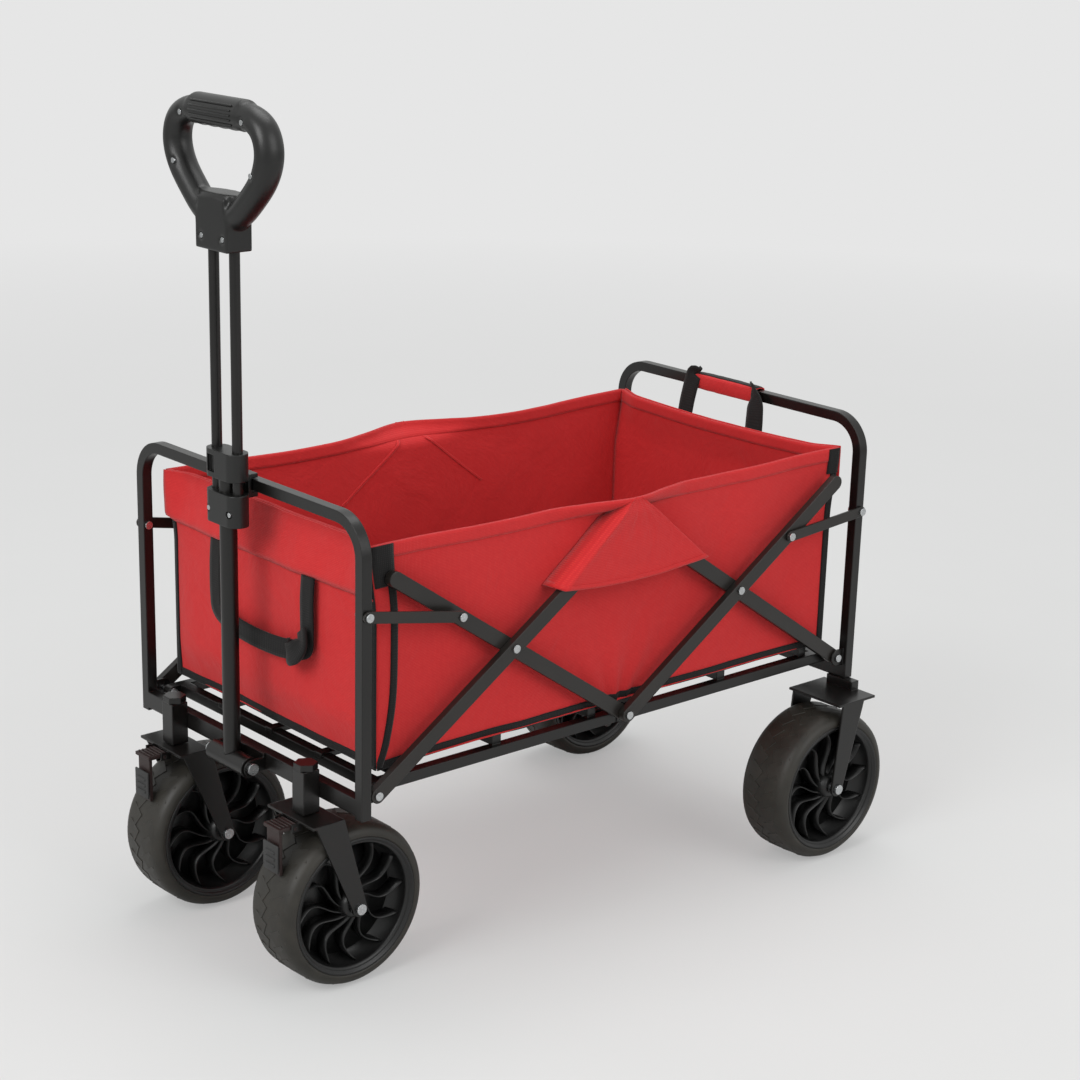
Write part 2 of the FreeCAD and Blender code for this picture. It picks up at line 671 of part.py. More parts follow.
def fork(wheel_x, front, back, arm_front, arm_back, axle):
    """A pressed U of plate over a wheel, with tapered arms down to the axle."""
    plate = block(
        ("2 * fork_out", f"{back} - ({front})", "fork_wall"),
        (wheel_x, f"({back} + ({front})) / 2", "fork_top - fork_wall / 2"),
    )
    parts = [plate]
    for side in ("-", "+"):
        outline = [
            (arm_front, "fork_top"),
            (f"{axle} - 10", "wheel_radius"),
            (f"{axle} + 10", "wheel_radius"),
            (arm_back, "fork_top"),
        ]
        arm_x = f"{wheel_x} {side} (fork_inner + fork_wall / 2)"
        parts.append(at(holder([padded([outline], "fork_wall")]), arm_x, 0, 0))
        parts.append(rod(10, "fork_wall", (f"{arm_x} - fork_wall / 2", axle, "wheel_radius"), "x"))
    return parts


def axle_set(wheel_x, axle):
    """A wheel bolt with its head and nut, and a spacer ring on each side of the hub."""
    end = "(fork_out + 0.2)"
    shank = rod("axle_radius", f"2 * {end}", (f"{wheel_x} - {end}", axle, "wheel_radius"), "x")
    head = rod("axle_radius + 2.5", 3.5, (f"{wheel_x} + {end}", axle, "wheel_radius"), "x")
    nut = rod("axle_radius + 2.5", 3.5, (f"{wheel_x} - {end} - 3.5", axle, "wheel_radius"), "x")
    gap = "(fork_inner - hub_half - 0.4)"
    rings = []
    for start in (f"{wheel_x} + hub_half + 0.2", f"{wheel_x} - hub_half - 0.2 - {gap}"):
        ring = rod("axle_radius + 4", gap, (start, axle, "wheel_radius"), "x")
        rings.append(cut(ring, [hole_along_x("axle_radius + axle_gap", axle, "wheel_radius")]))
    return [fuse([shank, head, nut])] + rings


def casters():
    """Swivelling forks at the handle end with their stems, bolts and brake pedals."""
    front = "-stem_y - housing_side"
    axle = "-axle_y"
    parts = fork("caster_x", front, "-stem_y + housing_side", "-stem_y - 18", "-stem_y + 22", axle)
    stem = rod("stem_radius", "housing_top - 0.5 - fork_top + 1", ("caster_x", "-stem_y", "fork_top - 1"))
    ears = [
        block((2, 14, 10), (f"caster_x {side} (pedal_width / 2 + 1.4)", f"{front} - 3", "fork_top - 7"))
        for side in ("-", "+")
    ]
    pedal_pin = (f"{front} - 5", "fork_top - 8")
    drills = [hole_along_x("axle_radius + axle_gap", axle, "wheel_radius"), hole_along_x("2 + axle_gap", *pedal_pin)]
    right = cut(fuse(parts + [stem] + ears), drills)
    pin = rod(2, "pedal_width + 4.8", ("caster_x - pedal_width / 2 - 2.4", *pedal_pin), "x")
    tab = block(("pedal_width", 24, 4), ("caster_x", f"{front} - 14", "fork_top - 7"))
    nose = block(
        ("pad_width", 4, "fork_top - 6 - pad_low"),
        ("caster_x", f"{front} - 21.5", "(fork_top - 6 + pad_low) / 2"),
    )
    hub = rod(4, "pedal_width", ("caster_x - pedal_width / 2", *pedal_pin), "x")
    pedal = fuse([pin, hub, tab, nose])
    bolt = holder(axle_set("caster_x", axle))
    for label, piece in (("caster_fork", right), ("brake_pedal", pedal), ("caster_axle", bolt)):
        node(f"{label}_right", piece)
        node(f"{label}_left", mirror(piece))


def rear_forks():
    """Fixed forks under the rear frame, reaching forwards to their axles."""
    back = "(post_y + 3)"
    parts = fork("rear_wheel_x", "rear_wheel_y - 6", back, "rear_wheel_y + 2", "rear_wheel_y + 42", "rear_wheel_y")
    foot_low = "(foot_tube_low - rear_foot_drop)"
    riser = block(
        ("2 * housing_side", "tube_side", f"{foot_low} - fork_top"),
        ("rear_wheel_x - 7", "post_y - 3.5", f"({foot_low} + fork_top) / 2"),
    )
    drill = hole_along_x("axle_radius + axle_gap", "rear_wheel_y", "wheel_radius")
    node("rear_forks", both(cut(fuse(parts + [riser]), [drill])))
    node("rear_axles", both(holder(axle_set("rear_wheel_x", "rear_wheel_y"))))


def tyre_profile():
    """Half width and radius corners of the tyre, from the bead round to the tread."""
    return [
        ("-wheel_width / 2 + 5", "rim_radius"),
        ("-wheel_width / 2", "rim_radius + 6"),
        ("-wheel_width / 2", "wheel_radius - 11"),
        ("-wheel_width / 2 + 4", "wheel_radius - 4"),
        ("-wheel_width / 2 + 12", "wheel_radius"),
        ("wheel_width / 2 - 12", "wheel_radius"),
        ("wheel_width / 2 - 4", "wheel_radius - 4"),
        ("wheel_width / 2", "wheel_radius - 11"),
        ("wheel_width / 2", "rim_radius + 6"),
        ("wheel_width / 2 - 5", "rim_radius"),
    ]


def rim():
    """The wheel's barrel, hub, middle web and curved spokes."""
    inside_barrel = rod("rim_radius - 4", "4 * rim_half", ("-2 * rim_half", 0, 0), "x")
    barrel = cut(rod("rim_radius", "2 * rim_half", ("-rim_half", 0, 0), "x"), [inside_barrel])
    web = rod("rim_radius - 2", 3, (-1.5, 0, 0), "x")
    hub = rod("hub_radius", "2 * hub_half", ("-hub_half", 0, 0), "x")
    blades = []
    for i in range(SPOKES):
        bow = "(0.62 * rim_radius)"
        outer = rod(f"{bow} + 1.2", "2 * spoke_half", ("-spoke_half", bow, 0), "x")
        inner = rod(f"{bow} - 1.2", "2 * spoke_half + 2", ("-spoke_half - 1", bow, 0), "x")
        half_middle = (0, "rim_radius - 10", "(rim_radius - 2) / 2")
        half = block(("2 * spoke_half", "2 * rim_radius", "rim_radius - 2"), half_middle)
        blade = common(cut(outer, [inner]), half)
        inside = common(blade, rod("rim_radius - 2", "2 * spoke_half", ("-spoke_half", 0, 0), "x"))
        blades.append(at(holder([inside]), 0, 0, 0, turn=f"{i} * 360 / {SPOKES} + 1"))
    solid = fuse([barrel, web, hub] + blades)
    return cut(solid, [rod("axle_radius + axle_gap", "4 * hub_half", ("-2 * hub_half", 0, 0), "x")])


def wheels():
    """Four equal wheels: a rubber tyre on a moulded rim."""
    tyre = turned(tyre_profile())
    spoked = rim()
    places = {
        "front_right": ("caster_x", "-axle_y"),
        "front_left": ("-caster_x", "-axle_y"),
        "rear_right": ("rear_wheel_x", "rear_wheel_y"),
        "rear_left": ("-rear_wheel_x", "rear_wheel_y"),
    }
    for name, (x, y) in places.items():
        node(f"tyre_{name}", at(holder([tyre]), x, y, "wheel_radius"))
        node(f"rim_{name}", at(holder([spoked]), x, y, "wheel_radius"))


def sockets():
    """Square sockets for the caster stems in front of the axle tube, and their caps."""
    housing = block(
        ("housing_side", "housing_side", "housing_top - fork_top - 1"),
        ("caster_x", "-stem_y", "(housing_top + fork_top + 1) / 2"),
    )
    bore = rod("stem_radius + axle_gap", "housing_top", ("caster_x", "-stem_y", "fork_top"))
    node("caster_housings", both(cut(housing, [bore])))
    cap = doc.addObject("Part::Prism", "Cap")
    cap.Polygon = 6
    bind(cap, Circumradius="cap_radius", Height="cap_tall")
    node("housing_caps", both(at(cap, "caster_x", "-stem_y", "housing_top")))


def checked():
    """Stops if any object failed or any sub-part is not a sound solid."""
    doc.recompute()
    for obj in doc.Objects:
        if {"Invalid", "Error"} & set(obj.State):
            raise SystemExit(f"{obj.Name} failed: {obj.State}")
    for label, obj in nodes.items():
        shape = obj.Shape
        if shape.isNull() or not shape.isValid() or not shape.Solids:
            raise SystemExit(f"{label} has no sound solid")


end_frame("front", "-1", "front_link_z", "front_plate_x", "foot_tube_low + foot_tube_tall / 2")
end_frame("rear", "1", "rear_link_z", "rear_plate_x", "foot_tube_low + foot_tube_tall / 2 - rear_foot_drop")
sockets()
side_bars()
side_rivets()
links()
floor()
fabric()
rail_grip()
handle_base()
upper_coupler()
slider()
grip()
casters()
rear_forks()
wheels()
checked()

os.makedirs("parts", exist_ok=True)
for label, obj in nodes.items():
    obj.Shape.exportStep(f"parts/{label}.step")
    print(label, len(obj.Shape.Solids), round(obj.Shape.Volume))
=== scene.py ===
import json
import math
import bmesh
import bpy
from mathutils import Matrix, Vector, noise


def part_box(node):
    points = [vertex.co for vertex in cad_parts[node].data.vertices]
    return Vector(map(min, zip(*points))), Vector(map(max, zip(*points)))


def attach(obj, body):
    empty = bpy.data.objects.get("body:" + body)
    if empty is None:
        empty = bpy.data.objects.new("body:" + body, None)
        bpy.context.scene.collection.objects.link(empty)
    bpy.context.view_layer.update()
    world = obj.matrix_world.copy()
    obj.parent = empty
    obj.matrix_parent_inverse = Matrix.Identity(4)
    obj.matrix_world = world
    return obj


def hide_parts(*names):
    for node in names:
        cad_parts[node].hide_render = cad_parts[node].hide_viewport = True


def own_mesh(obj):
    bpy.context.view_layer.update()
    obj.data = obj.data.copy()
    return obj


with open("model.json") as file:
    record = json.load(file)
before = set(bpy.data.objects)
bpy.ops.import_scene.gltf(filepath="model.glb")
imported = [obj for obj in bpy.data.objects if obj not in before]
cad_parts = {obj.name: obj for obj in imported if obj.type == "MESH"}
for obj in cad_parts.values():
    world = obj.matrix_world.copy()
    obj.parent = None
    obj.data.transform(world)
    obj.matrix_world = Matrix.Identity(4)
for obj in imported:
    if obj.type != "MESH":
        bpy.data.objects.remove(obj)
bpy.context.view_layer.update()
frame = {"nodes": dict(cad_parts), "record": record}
print("frame loaded")

# ---------- materials ----------


def linear(hexText):
    parts = [int(hexText[i:i + 2], 16) / 255 for i in (1, 3, 5)]
    return [p / 12.92 if p <= 0.04045 else ((p + 0.055) / 1.055) ** 2.4 for p in parts] + [1]


def addNode(tree, kind, links=None, **settings):  # one node, its settings, then what goes into its sockets
    node = tree.nodes.new(kind)
    for key, value in settings.items():
        setattr(node, key, value)
    for name, source in (links or {}).items():
        if isinstance(source, bpy.types.NodeSocket):
            tree.links.new(source, node.inputs[name])
        else:
            node.inputs[name].default_value = source
    return node


def newMaterial(name, **sockets):
    mat = bpy.data.materials.new(name)
    mat.use_nodes = True
    shader = mat.node_tree.nodes["Principled BSDF"]
    for key, value in sockets.items():
        shader.inputs[key.replace("_", " ")].default_value = value
    return mat, mat.node_tree, shader


def mixColours(tree, amount, first, second):
    return addNode(tree, "ShaderNodeMix", {0: amount, 6: linear(first), 7: linear(second)}, data_type="RGBA")


def perMm(size):  # texture scale for a pattern of that size in mm
    return 1000 / size


def coatedMetal(name, dark, light, roughLow, roughHigh, edge):
    # sprayed powder coat: a fine orange peel, edges rounded by the coat's own thickness, a little dust
    mat, tree, shader = newMaterial(name, Metallic=0.0, IOR=1.5, Specular_IOR_Level=0.42)
    place = addNode(tree, "ShaderNodeTexCoord").outputs["Object"]
    cloud = addNode(tree, "ShaderNodeTexNoise", {"Vector": place, "Scale": perMm(60), "Detail": 4.0})
    tone = mixColours(tree, cloud.outputs[0], dark, light)
    tree.links.new(tone.outputs[2], shader.inputs["Base Color"])
    gloss = addNode(tree, "ShaderNodeMapRange",
                    {"Value": cloud.outputs[0], "To Min": roughLow, "To Max": roughHigh})
    tree.links.new(gloss.outputs[0], shader.inputs["Roughness"])
    peel = addNode(tree, "ShaderNodeTexNoise", {"Vector": place, "Scale": perMm(1.4), "Detail": 2.0})
    rounded = addNode(tree, "ShaderNodeBevel", {"Radius": edge}, samples=6)
    bump = addNode(tree, "ShaderNodeBump", {"Height": peel.outputs[0], "Normal": rounded.outputs[0],
                                            "Strength": 0.12, "Distance": 0.0004})
    tree.links.new(bump.outputs[0], shader.inputs["Normal"])
    return mat


def zincSteel(name):
    # zinc plated steel: bright, lightly blotched crystals
    mat, tree, shader = newMaterial(name, Metallic=1.0)
    place = addNode(tree, "ShaderNodeTexCoord").outputs["Object"]
    spots = addNode(tree, "ShaderNodeTexVoronoi", {"Vector": place, "Scale": perMm(3)})
    tone = mixColours(tree, spots.outputs["Distance"], "#C9CBCC", "#A9ABAD")
    tree.links.new(tone.outputs[2], shader.inputs["Base Color"])
    gloss = addNode(tree, "ShaderNodeMapRange",
                    {"Value": spots.outputs["Distance"], "To Min": 0.2, "To Max": 0.38})
    tree.links.new(gloss.outputs[0], shader.inputs["Roughness"])
    rounded = addNode(tree, "ShaderNodeBevel", {"Radius": 0.0009}, samples=6)
    tree.links.new(rounded.outputs[0], shader.inputs["Normal"])
    return mat


def mouldedPlastic(name, dark, light, rough, edge, grain):
    # injection moulded plastic: a fine spark-eroded grain, softly rounded edges
    mat, tree, shader = newMaterial(name, IOR=1.49, Specular_IOR_Level=0.45)
    place = addNode(tree, "ShaderNodeTexCoord").outputs["Object"]
    cloud = addNode(tree, "ShaderNodeTexNoise", {"Vector": place, "Scale": perMm(35), "Detail": 3.0})
    tone = mixColours(tree, cloud.outputs[0], dark, light)
    tree.links.new(tone.outputs[2], shader.inputs["Base Color"])
    gloss = addNode(tree, "ShaderNodeMapRange",
                    {"Value": cloud.outputs[0], "To Min": rough - 0.06, "To Max": rough + 0.08})
    tree.links.new(gloss.outputs[0], shader.inputs["Roughness"])
    fine = addNode(tree, "ShaderNodeTexNoise", {"Vector": place, "Scale": perMm(grain), "Detail": 1.0})
    rounded = addNode(tree, "ShaderNodeBevel", {"Radius": edge}, samples=6)
    bump = addNode(tree, "ShaderNodeBump", {"Height": fine.outputs[0], "Normal": rounded.outputs[0],
                                            "Strength": 0.15, "Distance": 0.0003})
    tree.links.new(bump.outputs[0], shader.inputs["Normal"])
    return mat


def tyreRubber(name):
    # moulded carbon-black rubber: dull, with a grey bloom of dust in random patches
    mat, tree, shader = newMaterial(name, IOR=1.52, Specular_IOR_Level=0.35)
    place = addNode(tree, "ShaderNodeTexCoord").outputs["Object"]
    dust = addNode(tree, "ShaderNodeTexNoise", {"Vector": place, "Scale": perMm(18), "Detail": 6.0})
    tone = mixColours(tree, dust.outputs[0], "#1B1A17", "#322F29")
    tree.links.new(tone.outputs[2], shader.inputs["Base Color"])
    gloss = addNode(tree, "ShaderNodeMapRange", {"Value": dust.outputs[0], "To Min": 0.4, "To Max": 0.58})
    tree.links.new(gloss.outputs[0], shader.inputs["Roughness"])
    fine = addNode(tree, "ShaderNodeTexNoise", {"Vector": place, "Scale": perMm(1.2), "Detail": 2.0})
    bump = addNode(tree, "ShaderNodeBump", {"Height": fine.outputs[0], "Strength": 0.08, "Distance": 0.0003})
    tree.links.new(bump.outputs[0], shader.inputs["Normal"])
    return mat


def wovenCloth(name, deep, bright, thread, crease, sheen):
    # plain weave on the piece's own UV map, which is in metres
    mat, tree, shader = newMaterial(name, Roughness=0.82, Sheen_Weight=sheen, Sheen_Roughness=0.45,
                                    Specular_IOR_Level=0.25)
    onCloth = addNode(tree, "ShaderNodeUVMap", uv_map="cloth").outputs[0]
    warp = addNode(tree, "ShaderNodeTexWave", {"Vector": onCloth, "Scale": 0.314 * perMm(thread)},
                   bands_direction="X")
    weft = addNode(tree, "ShaderNodeTexWave", {"Vector": onCloth, "Scale": 0.314 * perMm(thread)},
                   bands_direction="Y")
    weave = addNode(tree, "ShaderNodeMath", {0: warp.outputs[1], 1: weft.outputs[1]}, operation="MULTIPLY")
    slub = addNode(tree, "ShaderNodeTexNoise", {"Vector": onCloth, "Scale": perMm(9), "Detail": 5.0})
    mixed = addNode(tree, "ShaderNodeMath", {0: weave.outputs[0], 1: slub.outputs[0]}, operation="MULTIPLY")
    tone = mixColours(tree, mixed.outputs[0], deep, bright)
    tree.links.new(tone.outputs[2], shader.inputs["Base Color"])
    folds = addNode(tree, "ShaderNodeTexNoise", {"Vector": onCloth, "Scale": perMm(70), "Detail": 5.0,
                                                 "Roughness": 0.55, "Distortion": 0.6})
    creased = addNode(tree, "ShaderNodeBump",
                      {"Height": folds.outputs[0], "Strength": crease, "Distance": 0.012})
    bump = addNode(tree, "ShaderNodeBump", {"Height": weave.outputs[0], "Normal": creased.outputs[0],
                                            "Strength": 0.5, "Distance": 0.0006})
    tree.links.new(bump.outputs[0], shader.inputs["Normal"])
    return mat


finishes = {
    "black_metal": coatedMetal("blackPowderCoat", "#090807", "#110F0E", 0.26, 0.38, 0.0022),
    "grey_metal": coatedMetal("greyPowderCoat", "#171513", "#24201D", 0.3, 0.42, 0.0018),
    "bright_steel": zincSteel("zincPlatedSteel"),
    "tread_rubber": tyreRubber("tyreRubber"),
    "rim_plastic": mouldedPlastic("rimPolypropylene", "#0C0C0C", "#141414", 0.36, 0.0012, 1.0),
    "handle_plastic": mouldedPlastic("handleAbs", "#0C0C0C", "#141413", 0.36, 0.0018, 0.9),
    "brake_plastic": mouldedPlastic("brakeNylon", "#1D1110", "#2A1917", 0.5, 0.001, 0.9),
    "pad_plastic": mouldedPlastic("padRubber", "#252525", "#313131", 0.6, 0.0008, 0.9),
    "red_fabric": wovenCloth("redPolyester", "#BE2528", "#DE3E38", 1.8, 0.35, 0.12),
    "mat_fabric": wovenCloth("matPolyester", "#8F1B22", "#B02A2E", 1.8, 0.25, 0.2),
    "black_webbing": wovenCloth("blackWebbing", "#141313", "#242322", 2.4, 0.08, 0.08),
}
for entry in frame["record"]["subparts"]:
    node = frame["nodes"][entry["node"]]
    node.data.materials.clear()
    node.data.materials.append(finishes[entry["material_slot"]])
print("materials made")

# ---------- helpers ----------


recordSlots = {entry["slot"] for entry in frame["record"]["materials"]}


def toObject(bm, name, slotName, body, smooth=True):
    mesh = bpy.data.meshes.new(name)
    bm.to_mesh(mesh)
    bm.free()
    for poly in mesh.polygons:
        poly.use_smooth = smooth
    piece = bpy.data.objects.new(name, mesh)
    bpy.context.scene.collection.objects.link(piece)
    mesh.materials.append(finishes[slotName])
    slotName if slotName in recordSlots else "handle_plastic"
    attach(piece, body)
    return piece


def addSolidify(piece, thick):
    mod = piece.modifiers.new("Thickness", "SOLIDIFY")
    mod.thickness = thick
    mod.offset = 0


def clothGrid(place, cols, rows, size, flip=False):  # a grid laid out by place(s, t), its UV map in metres
    bm = bmesh.new()
    bmesh.ops.create_grid(bm, x_segments=cols, y_segments=rows, size=1)
    layer = bm.loops.layers.uv.new("cloth")
    for face in bm.faces:
        for loop in face.loops:
            s, t = (loop.vert.co.x + 1) / 2, (loop.vert.co.y + 1) / 2
            loop[layer].uv = (s * size[0], t * size[1])
    for vert in bm.verts:
        vert.co = place((vert.co.x + 1) / 2, (vert.co.y + 1) / 2)
    if flip:
        bmesh.ops.reverse_faces(bm, faces=bm.faces)
    return bm


def smoothStep(t):
    t = min(1, max(0, t))
    return t * t * (3 - 2 * t)


def onPath(points, s):  # a smooth line through the points, s from 0 to 1
    spot = min(0.99999, max(0, s)) * (len(points) - 1)
    i = int(spot)
    f = spot - i
    a, b, c, d = (Vector(points[min(len(points) - 1, max(0, k))]) for k in (i - 1, i, i + 1, i + 2))
    square, cube = 2 * a - 5 * b + 4 * c - d, 3 * b - 3 * c + d - a
    return 0.5 * (2 * b + (c - a) * f + square * f * f + cube * f ** 3)


def pathLength(points):
    return sum((onPath(points, (k + 1) / 60) - onPath(points, k / 60)).length for k in range(60))


def ribbon(points, width, facing, cols, rows, flare=None):
    facing = Vector(facing)

    def place(s, t):
        here = onPath(points, s)
        ahead = (onPath(points, min(1, s + 0.01)) - onPath(points, max(0, s - 0.01))).normalized()
        across = ahead.cross(facing).normalized()
        wide = width * (flare(s) if flare else 1)
        return here + across * (t - 0.5) * wide

    return clothGrid(place, cols, rows, (pathLength(points), width))


def boxAt(bm, size, centre, turn=None):
    made = bmesh.ops.create_cube(bm, size=1)
    bmesh.ops.scale(bm, vec=size, verts=made["verts"])
    if turn:
        bmesh.ops.rotate(bm, cent=(0, 0, 0), matrix=turn, verts=made["verts"])
    bmesh.ops.translate(bm, vec=centre, verts=made["verts"])
    return made["verts"]


def bevelAll(bm, width, segments=2):
    sharp = [e for e in bm.edges if len(e.link_faces) == 2 and e.calc_face_angle(0) > 0.6]
    bmesh.ops.bevel(bm, geom=sharp, offset=width, offset_type="OFFSET", segments=segments, profile=0.5,
                    affect="EDGES", material=-1, clamp_overlap=True)


def foldFlat(piece):  # gives the piece its own copy of its mesh
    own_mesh(piece)


# ---------- cloth tub ----------

tub = {
    "halfX": 0.2030,
    "halfY": 0.3650,
    "bottom": 0.2790,
    "top": 0.5400,
    "cornerOut": 0.010,  # the top corners are pulled out into the pockets
    "slack": 0.0045,
    "lipOut": 0.0235,
    "belly": 0.012,
    "thick": 0.0012,
    "hem": 0.016,
    "hemLow": 0.008,
    "binding": 0.009,
    "cuffLow": 0.477,
    "cuffOut": 0.009,
}
wallFacing = {"right": (1, 0, 0), "left": (-1, 0, 0), "front": (0, -1, 0), "rear": (0, 1, 0)}


def wallPoint(wall, u, z, out=0.0):  # u runs from -1 to 1 along the wall, z is the height
    v = (z - tub["bottom"]) / (tub["top"] - tub["bottom"])
    side = wall in ("right", "left")
    half = tub["halfY"] if side else tub["halfX"]
    depth = tub["halfX"] if side else tub["halfY"]
    edge = 1 - abs(u) ** 6
    corner = smoothStep((abs(u) - 0.8) / 0.2) * smoothStep((v - 0.65) / 0.35)
    along = u * (half + (tub["cornerOut"] * corner if side else 0))
    seed = {"right": 3.1, "left": 7.7, "front": 11.3, "rear": 17.9}[wall]
    coarse = noise.noise(Vector((along * 9, z * 6, seed)))
    fine = noise.noise(Vector((along * 23, z * 17, seed)))
    wrinkle = coarse * 0.7 + fine * 0.3
    slack = -tub["slack"] * (0.5 + wrinkle) * edge
    if side:  # soft fans of creases run up from the bottom-middle joint
        spread = abs(along) / (0.02 + 0.55 * max(0.0, z - tub["bottom"]))
        fan = math.cos(7 * spread) * math.exp(-spread * 0.6) * math.exp(-max(0.0, v) * 3.2)
        slack += 0.0035 * fan * edge - 0.002 * edge
        lip = math.exp(-(along / 0.06) ** 2) * smoothStep((z - 0.518) / 0.020)
        slack += tub["lipOut"] * lip  # the top edge leans out over the bars' top joint
        depth += tub["lipOut"] * lip
    else:  # the end walls belly out a little
        slack += 0.010 * edge * smoothStep(v / 0.2) * smoothStep((1 - v) / 0.25)
        depth += tub["belly"]
        slack -= tub["belly"]
    hang = 0  # the top edge sags between the corners
    if side:
        hang = -0.004 * math.sin(math.pi * min(1, abs(u) * 1.02)) ** 2 * smoothStep((v - 0.6) / 0.4)
    if wall == "rear":
        hang = -0.006 * (1 - u * u) * smoothStep((v - 0.6) / 0.4)
    outward = min(depth + slack, depth + 0.001) + out
    if side:
        return Vector((outward * wallFacing[wall][0], along, z + hang))
    return Vector((along, (outward + tub["cornerOut"] * corner) * wallFacing[wall][1], z + hang))


def wallPatch(name, wall, uSpan, zSpan, out, thick, slotName, cols, rows):
    half = tub["halfY"] if wall in ("right", "left") else tub["halfX"]

    def place(s, t):
        u = uSpan[0] + (uSpan[1] - uSpan[0]) * s
        return wallPoint(wall, u, zSpan[0] + (zSpan[1] - zSpan[0]) * t, out)

    size = ((uSpan[1] - uSpan[0]) * half, zSpan[1] - zSpan[0])
    grid = clothGrid(place, cols, rows, size, flip=wall in ("right", "front"))
    piece = toObject(grid, name, slotName, "front_frame")
    addSolidify(piece, thick)
    foldFlat(piece)
    return piece, size


for wall in wallFacing:
    side = wall in ("right", "left")
    label = wall.capitalize()
    cols = 120 if side else 70
    panel, size = wallPatch("tub" + label, wall, (-1, 1), (tub["bottom"], tub["top"]), 0, tub["thick"],
                            "red_fabric", cols, 44)
    if wall == "right":
        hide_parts("fabric_tub")
    half = tub["halfY"] if side else tub["halfX"]
    low, high, hemLow = tub["bottom"], tub["top"], tub["top"] - tub["hem"]
    strip = tub["binding"] / half
    trims = [  # name, span along the wall, span of heights, how far out, thickness, finish
        ("hemTop", (-1, 1), (hemLow, high + 0.0005), 0.0012, 0.0016, "red_fabric"),
        ("hemTopInner", (-1, 1), (hemLow, high + 0.0005), -0.0014, 0.0014, "red_fabric"),
        ("hemLow", (-1, 1), (low - 0.002, low + tub["hemLow"]), 0.0012, 0.0018, "black_webbing"),
        ("bindingHigh", (1 - strip, 1), (low, high), 0.0014, 0.002, "black_webbing"),
    ]
    if side:
        trims += [
            ("pocketLow", (-1, -1 + 0.027 / half), (high - 0.048, high), 0.0024, 0.0022, "black_webbing"),
            ("pocketHigh", (1 - 0.016 / half, 1), (high - 0.032, high), 0.0024, 0.0022, "black_webbing"),
        ]
    else:
        trims.append(("bindingLow", (-1, -1 + strip), (low, high), 0.0014, 0.002, "black_webbing"))
    for part, uSpan, zSpan, out, thick, slotName in trims:
        wide = (uSpan[1] - uSpan[0]) * half > 0.1
        wallPatch(part + label, wall, uSpan, zSpan, out, thick, slotName,
                  cols if wide else 4, 4 if wide else 44)


def wallLine(name, wall, path, width, out, thick, slotName):  # a narrow strip sewn on a wall along a path
    half = tub["halfY"] if wall in ("right", "left") else tub["halfX"]

    def place(s, t):
        here, ahead = onPath(path, s), onPath(path, s + 0.02)
        step = ahead - here if (ahead - here).length > 1e-7 else here - onPath(path, s - 0.02)
        along = step.normalized()
        spot = here + Vector((-along.y, along.x, 0)) * (t - 0.5) * width
        return wallPoint(wall, max(-1, min(1, spot.x / half)), spot.y, out)

    grid = clothGrid(place, 48, 3, (pathLength(path), width), flip=wall in ("right", "front"))
    strip = toObject(grid, name, slotName, "front_frame")
    addSolidify(strip, thick)
    foldFlat(strip)


for wall in ("right", "left"):
    label = wall.capitalize()
    binding = [(-0.363, 0.281, 0), (-0.352, 0.31, 0), (-0.343, 0.36, 0), (-0.341, 0.43, 0), (-0.342, 0.50, 0),
               (-0.344, 0.537, 0)]
    wallLine("cornerBinding" + label, wall, binding, tub["binding"], 0.0015, 0.0022, "black_webbing")
    for end, sign in (("Front", -1), ("Rear", 1)):  # the flap's slanted stitch lines show through as ridges
        stitch = [(sign * 0.004, 0.537, 0), (sign * 0.06, 0.494, 0), (sign * 0.116, 0.451, 0)]
        wallLine("stitch" + label + end, wall, stitch, 0.0035, -0.0012, 0.0012, "red_fabric")
for wall in ("front", "rear"):  # a folded cuff along the top of each end

    def cuffPoint(s, t, wall=wall):
        z = tub["cuffLow"] + (tub["top"] + 0.001 - tub["cuffLow"]) * t
        crease = 0.0016 * noise.noise(Vector((s * 14, t * 2.0, 4 if wall == "front" else 9)))
        out = 0.0022 + (tub["cuffOut"] + crease) * smoothStep(t / 0.14) * (1 - 0.62 * t)
        return wallPoint(wall, -0.995 + 1.99 * s, z, out)

    cuff = toObject(clothGrid(cuffPoint, 70, 18, (2 * tub["halfX"], 0.064), flip=wall == "front"),
                    "cuff" + wall.capitalize(), "red_fabric", "front_frame")
    addSolidify(cuff, 0.0016)
    foldFlat(cuff)


def bottomPoint(s, t):
    x, y = (2 * s - 1) * tub["halfX"], (2 * t - 1) * tub["halfY"]
    return Vector((x, y, tub["bottom"] + 0.0006 * noise.noise(Vector((x * 20, y * 20, 2)))))


bottomSize = (2 * tub["halfX"], 2 * tub["halfY"])
bottom = toObject(clothGrid(bottomPoint, 40, 70, bottomSize), "tubBottom", "red_fabric", "front_frame")
addSolidify(bottom, 0.0006)
foldFlat(bottom)
print("tub sewn")

# ---------- flaps over the top joints ----------

